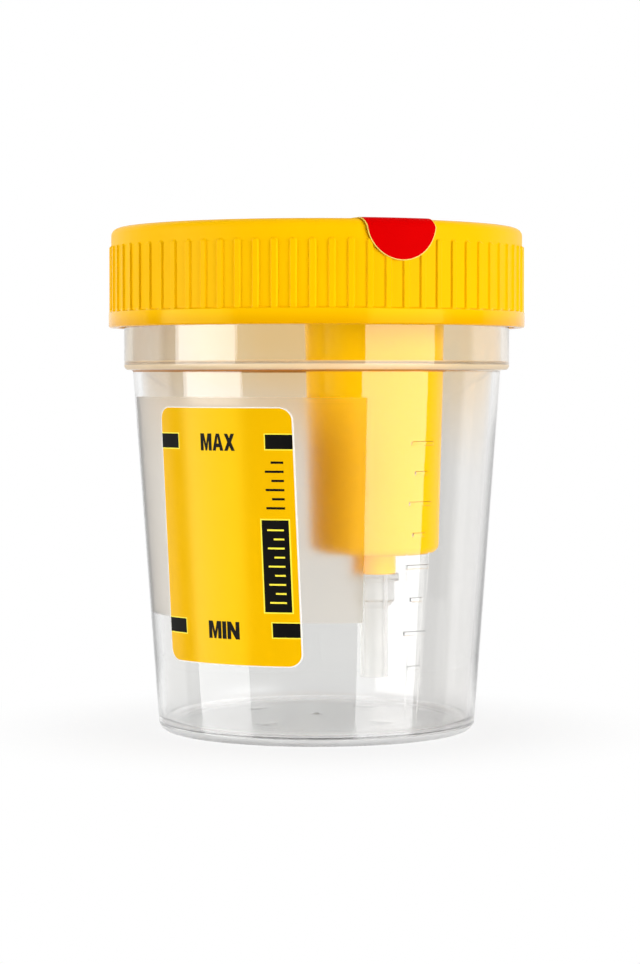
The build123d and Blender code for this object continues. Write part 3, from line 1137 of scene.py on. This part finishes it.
seal_mesh = bmesh.new()
front = seal_layer(seal_mesh, 0, seal_lift)
back = seal_layer(seal_mesh, 0, seal_lift - seal_thickness)
for place, vertex in enumerate(front):
    seal_mesh.faces.new((front[place - 1], vertex, back[place], back[place - 1]))
seal = finished(seal_mesh, "seal_film")
seal.data.materials.append(printed_film("seal_border", (0.86, 0.66, 0.10), (0.82, 0.62, 0.08), 0.4))
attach(seal, "lid_body")
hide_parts("safety_seal")

print_mesh = bmesh.new()
seal_layer(print_mesh, seal_border, print_lift)
seal_print = finished(print_mesh, "seal_print")
seal_red = printed_film("seal_red", (0.69, 0.0, 0.0005), (0.63, 0.0, 0.0005), 0.45)
coloured_gloss(seal_red, (1.0, 0.02, 0.01), 0.04)
seal_print.data.materials.append(seal_red)
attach(seal_print, "lid_body")

# Studio
# A round white stand in a white room, with a tall softbox at each side and one overhead that
# lights the lid's top. The camera stands in front and looks slightly down.


def looked_at(tree, ray):
    """1 where the eye sees a place straight, in a mirror or through glass, and 0 for mere light."""
    kinds = worked_out(tree, "MAXIMUM", ray.outputs["Is Camera Ray"], ray.outputs["Is Glossy Ray"])
    kinds = worked_out(tree, "MAXIMUM", kinds, ray.outputs["Is Transmission Ray"])
    scattered = worked_out(tree, "MINIMUM", ray.outputs["Diffuse Depth"], 1.0)
    return worked_out(tree, "MULTIPLY", kinds, worked_out(tree, "SUBTRACT", 1.0, scattered))


contact_radius = 22.0
open_radius = 60.0
contact_share = 0.82


def table_white():
    """White to the eye, and a plain pale table to the light, whose shadow shows near the cup."""
    material, tree, shader = new_material("table_white")
    shader.inputs["Base Color"].default_value = (0.8, 0.8, 0.8, 1)
    shader.inputs["Roughness"].default_value = 0.9
    white = tree.nodes.new("ShaderNodeEmission")
    out = place_on_piece(tree)[1]
    shown = tree.nodes.new("ShaderNodeMixShader")
    kinds = looked_at(tree, tree.nodes.new("ShaderNodeLightPath"))
    share = ramped(tree, out, contact_radius, open_radius, contact_share, 1.0)
    tree.links.new(worked_out(tree, "MULTIPLY", kinds, share), shown.inputs["Fac"])
    tree.links.new(shader.outputs[0], shown.inputs[1])
    tree.links.new(white.outputs[0], shown.inputs[2])
    tree.links.new(shown.outputs[0], tree.nodes["Material Output"].inputs["Surface"])
    return material


table_radius = 90
table_mesh = bmesh.new()
bmesh.ops.create_circle(table_mesh, cap_ends=True, radius=table_radius * mm, segments=96)
table = finished(table_mesh, "table")
table.data.materials.append(table_white())
table.visible_shadow = False
table.visible_glossy = False

world = bpy.data.worlds.new("studio")
world.use_nodes = True
bpy.context.scene.world = world
sky = world.node_tree
backdrop = sky.nodes["Background"]
backdrop.inputs["Color"].default_value = (1, 1, 1, 1)
ray = sky.nodes.new("ShaderNodeLightPath")
direction = sky.nodes.new("ShaderNodeTexCoord")
split = sky.nodes.new("ShaderNodeSeparateXYZ")
sky.links.new(direction.outputs["Generated"], split.inputs[0])

# The wall behind is white, and the room in front of it is dim where the plastic mirrors it.
room_light = 0.1
mirrored_loss = -0.8 * room_light
wall_start, wall_full = 0.22, 0.32
behind = ramped(sky, split.outputs["Y"], wall_start, wall_full)
in_front = worked_out(sky, "SUBTRACT", 1.0, behind)
mirrored_once = worked_out(sky, "COMPARE", ray.outputs["Glossy Depth"], 1.0, 0.5)
unmirrored = worked_out(sky, "SUBTRACT", 1.0, mirrored_once)
white_share = worked_out(sky, "MAXIMUM", unmirrored, behind)
seen = worked_out(sky, "MULTIPLY", looked_at(sky, ray), white_share)
dimmed = worked_out(sky, "MULTIPLY", mirrored_once, in_front)
fill = worked_out(sky, "MULTIPLY_ADD", dimmed, mirrored_loss, room_light)
sky.links.new(worked_out(sky, "MAXIMUM", seen, fill), backdrop.inputs["Strength"])


def softbox(name, azimuth, distance, height, wide, power):
    """A softbox that faces the object, at an angle from the front to the right."""
    lamp = bpy.data.lights.new(name, "AREA")
    lamp.shape = "RECTANGLE"
    lamp.size = wide
    lamp.size_y = 0.8
    lamp.energy = power
    box = bpy.data.objects.new(name, lamp)
    turn = radians(azimuth)
    box.location = (distance * sin(turn), -distance * cos(turn), height)
    aim = Vector((0, 0, rim / 2 * mm)) - box.location
    box.rotation_euler = aim.to_track_quat("-Z", "Y").to_euler()
    bpy.context.scene.collection.objects.link(box)
    return box


softbox("left_softbox", azimuth=-69, distance=0.8, height=0.0, wide=0.62, power=7.0)
right_box = softbox("right_softbox", azimuth=50, distance=0.8, height=0.0, wide=0.65, power=8.6)
right_box.visible_transmission = False
top_box = softbox("overhead_softbox", azimuth=0, distance=0.001, height=1.0, wide=0.8, power=5.0)
top_box.visible_glossy = False
top_box.visible_transmission = False

optics = bpy.data.cameras.new("camera")
optics.lens = 101.36
optics.clip_start = 0.01
look_down = 0.03725
camera = bpy.data.objects.new("camera", optics)
camera.location = (0.00052, -0.4263, 0.05455)
camera.rotation_euler = (pi / 2 - look_down, 0, 0)
bpy.context.scene.collection.objects.link(camera)
bpy.context.scene.camera = camera
bpy.context.scene.view_settings.view_transform = "Standard"
